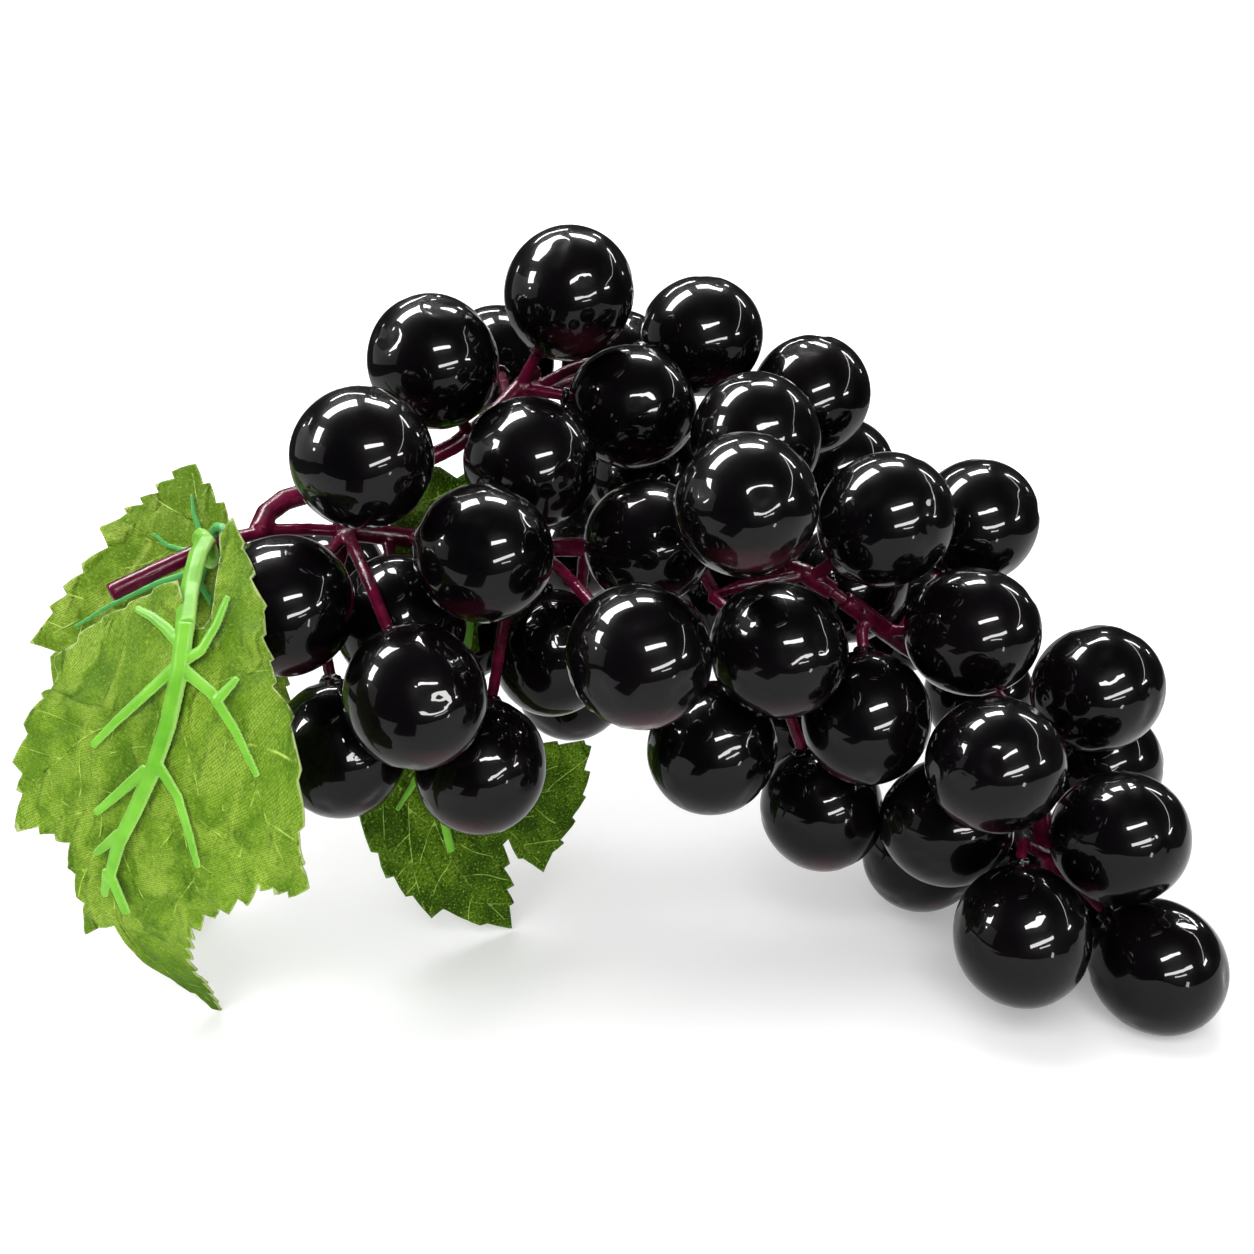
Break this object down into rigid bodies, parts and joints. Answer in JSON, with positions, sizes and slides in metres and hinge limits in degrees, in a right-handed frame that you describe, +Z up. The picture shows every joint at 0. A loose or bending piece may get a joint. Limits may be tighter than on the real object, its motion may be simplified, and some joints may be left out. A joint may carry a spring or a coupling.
{
  "type": "artificial grape bunch",
  "caption": "Decorative artificial bunch of glossy black grapes on moulded burgundy stems, with cloth vine leaves clipped near the cut end, lying on a table.",
  "frame": {"origin": "middle of the bunch's footprint, on the table it lies on", "axes": "+Z up, +X along the bunch away from the cut end, +Y to the back"},
  "size_m": [0.2236, 0.1258, 0.1445],
  "materials": {
    "grape": "mirror-like gloss with faint mould marks",
    "stem": "glossy moulded plastic",
    "leaf_cloth": "woven cloth, mottled print, pinked edge",
    "leaf_rib": "half-gloss, slightly see-through moulded plastic"
  },
  "bodies": {
    "root": {"main_stem": "stem", "sprig_shoulder": "stem", "sprig_near_cut_end": "stem", "sprig_belly": "stem", "sprig_middle": "stem", "sprig_tip": "stem", "grape_01": "grape", "grape_02": "grape", "grape_03": "grape", "grape_04": "grape", "grape_05": "grape", "grape_06": "grape", "grape_07": "grape", "grape_08": "grape", "grape_09": "grape", "grape_10": "grape", "grape_11": "grape", "grape_12": "grape", "grape_13": "grape", "grape_14": "grape", "grape_15": "grape", "grape_16": "grape", "grape_17": "grape", "grape_18": "grape", "grape_19": "grape", "grape_20": "grape", "grape_21": "grape", "grape_22": "grape", "grape_23": "grape", "grape_24": "grape", "grape_25": "grape", "grape_26": "grape", "grape_27": "grape", "grape_28": "grape", "grape_29": "grape", "grape_30": "grape", "grape_31": "grape", "grape_32": "grape", "grape_33": "grape", "grape_34": "grape", "grape_35": "grape", "grape_36": "grape", "grape_37": "grape", "grape_38": "grape", "grape_39": "grape", "grape_40": "grape", "grape_41": "grape", "grape_42": "grape", "grape_43": "grape", "grape_44": "grape", "grape_45": "grape", "grape_46": "grape", "grape_47": "grape", "grape_48": "grape", "leaf_front": "leaf_cloth", "leaf_front_ribs": "leaf_rib", "leaf_back": "leaf_cloth", "leaf_back_ribs": "leaf_rib", "leaf_under": "leaf_cloth", "leaf_under_ribs": "leaf_rib"}
  },
  "joints": []
}
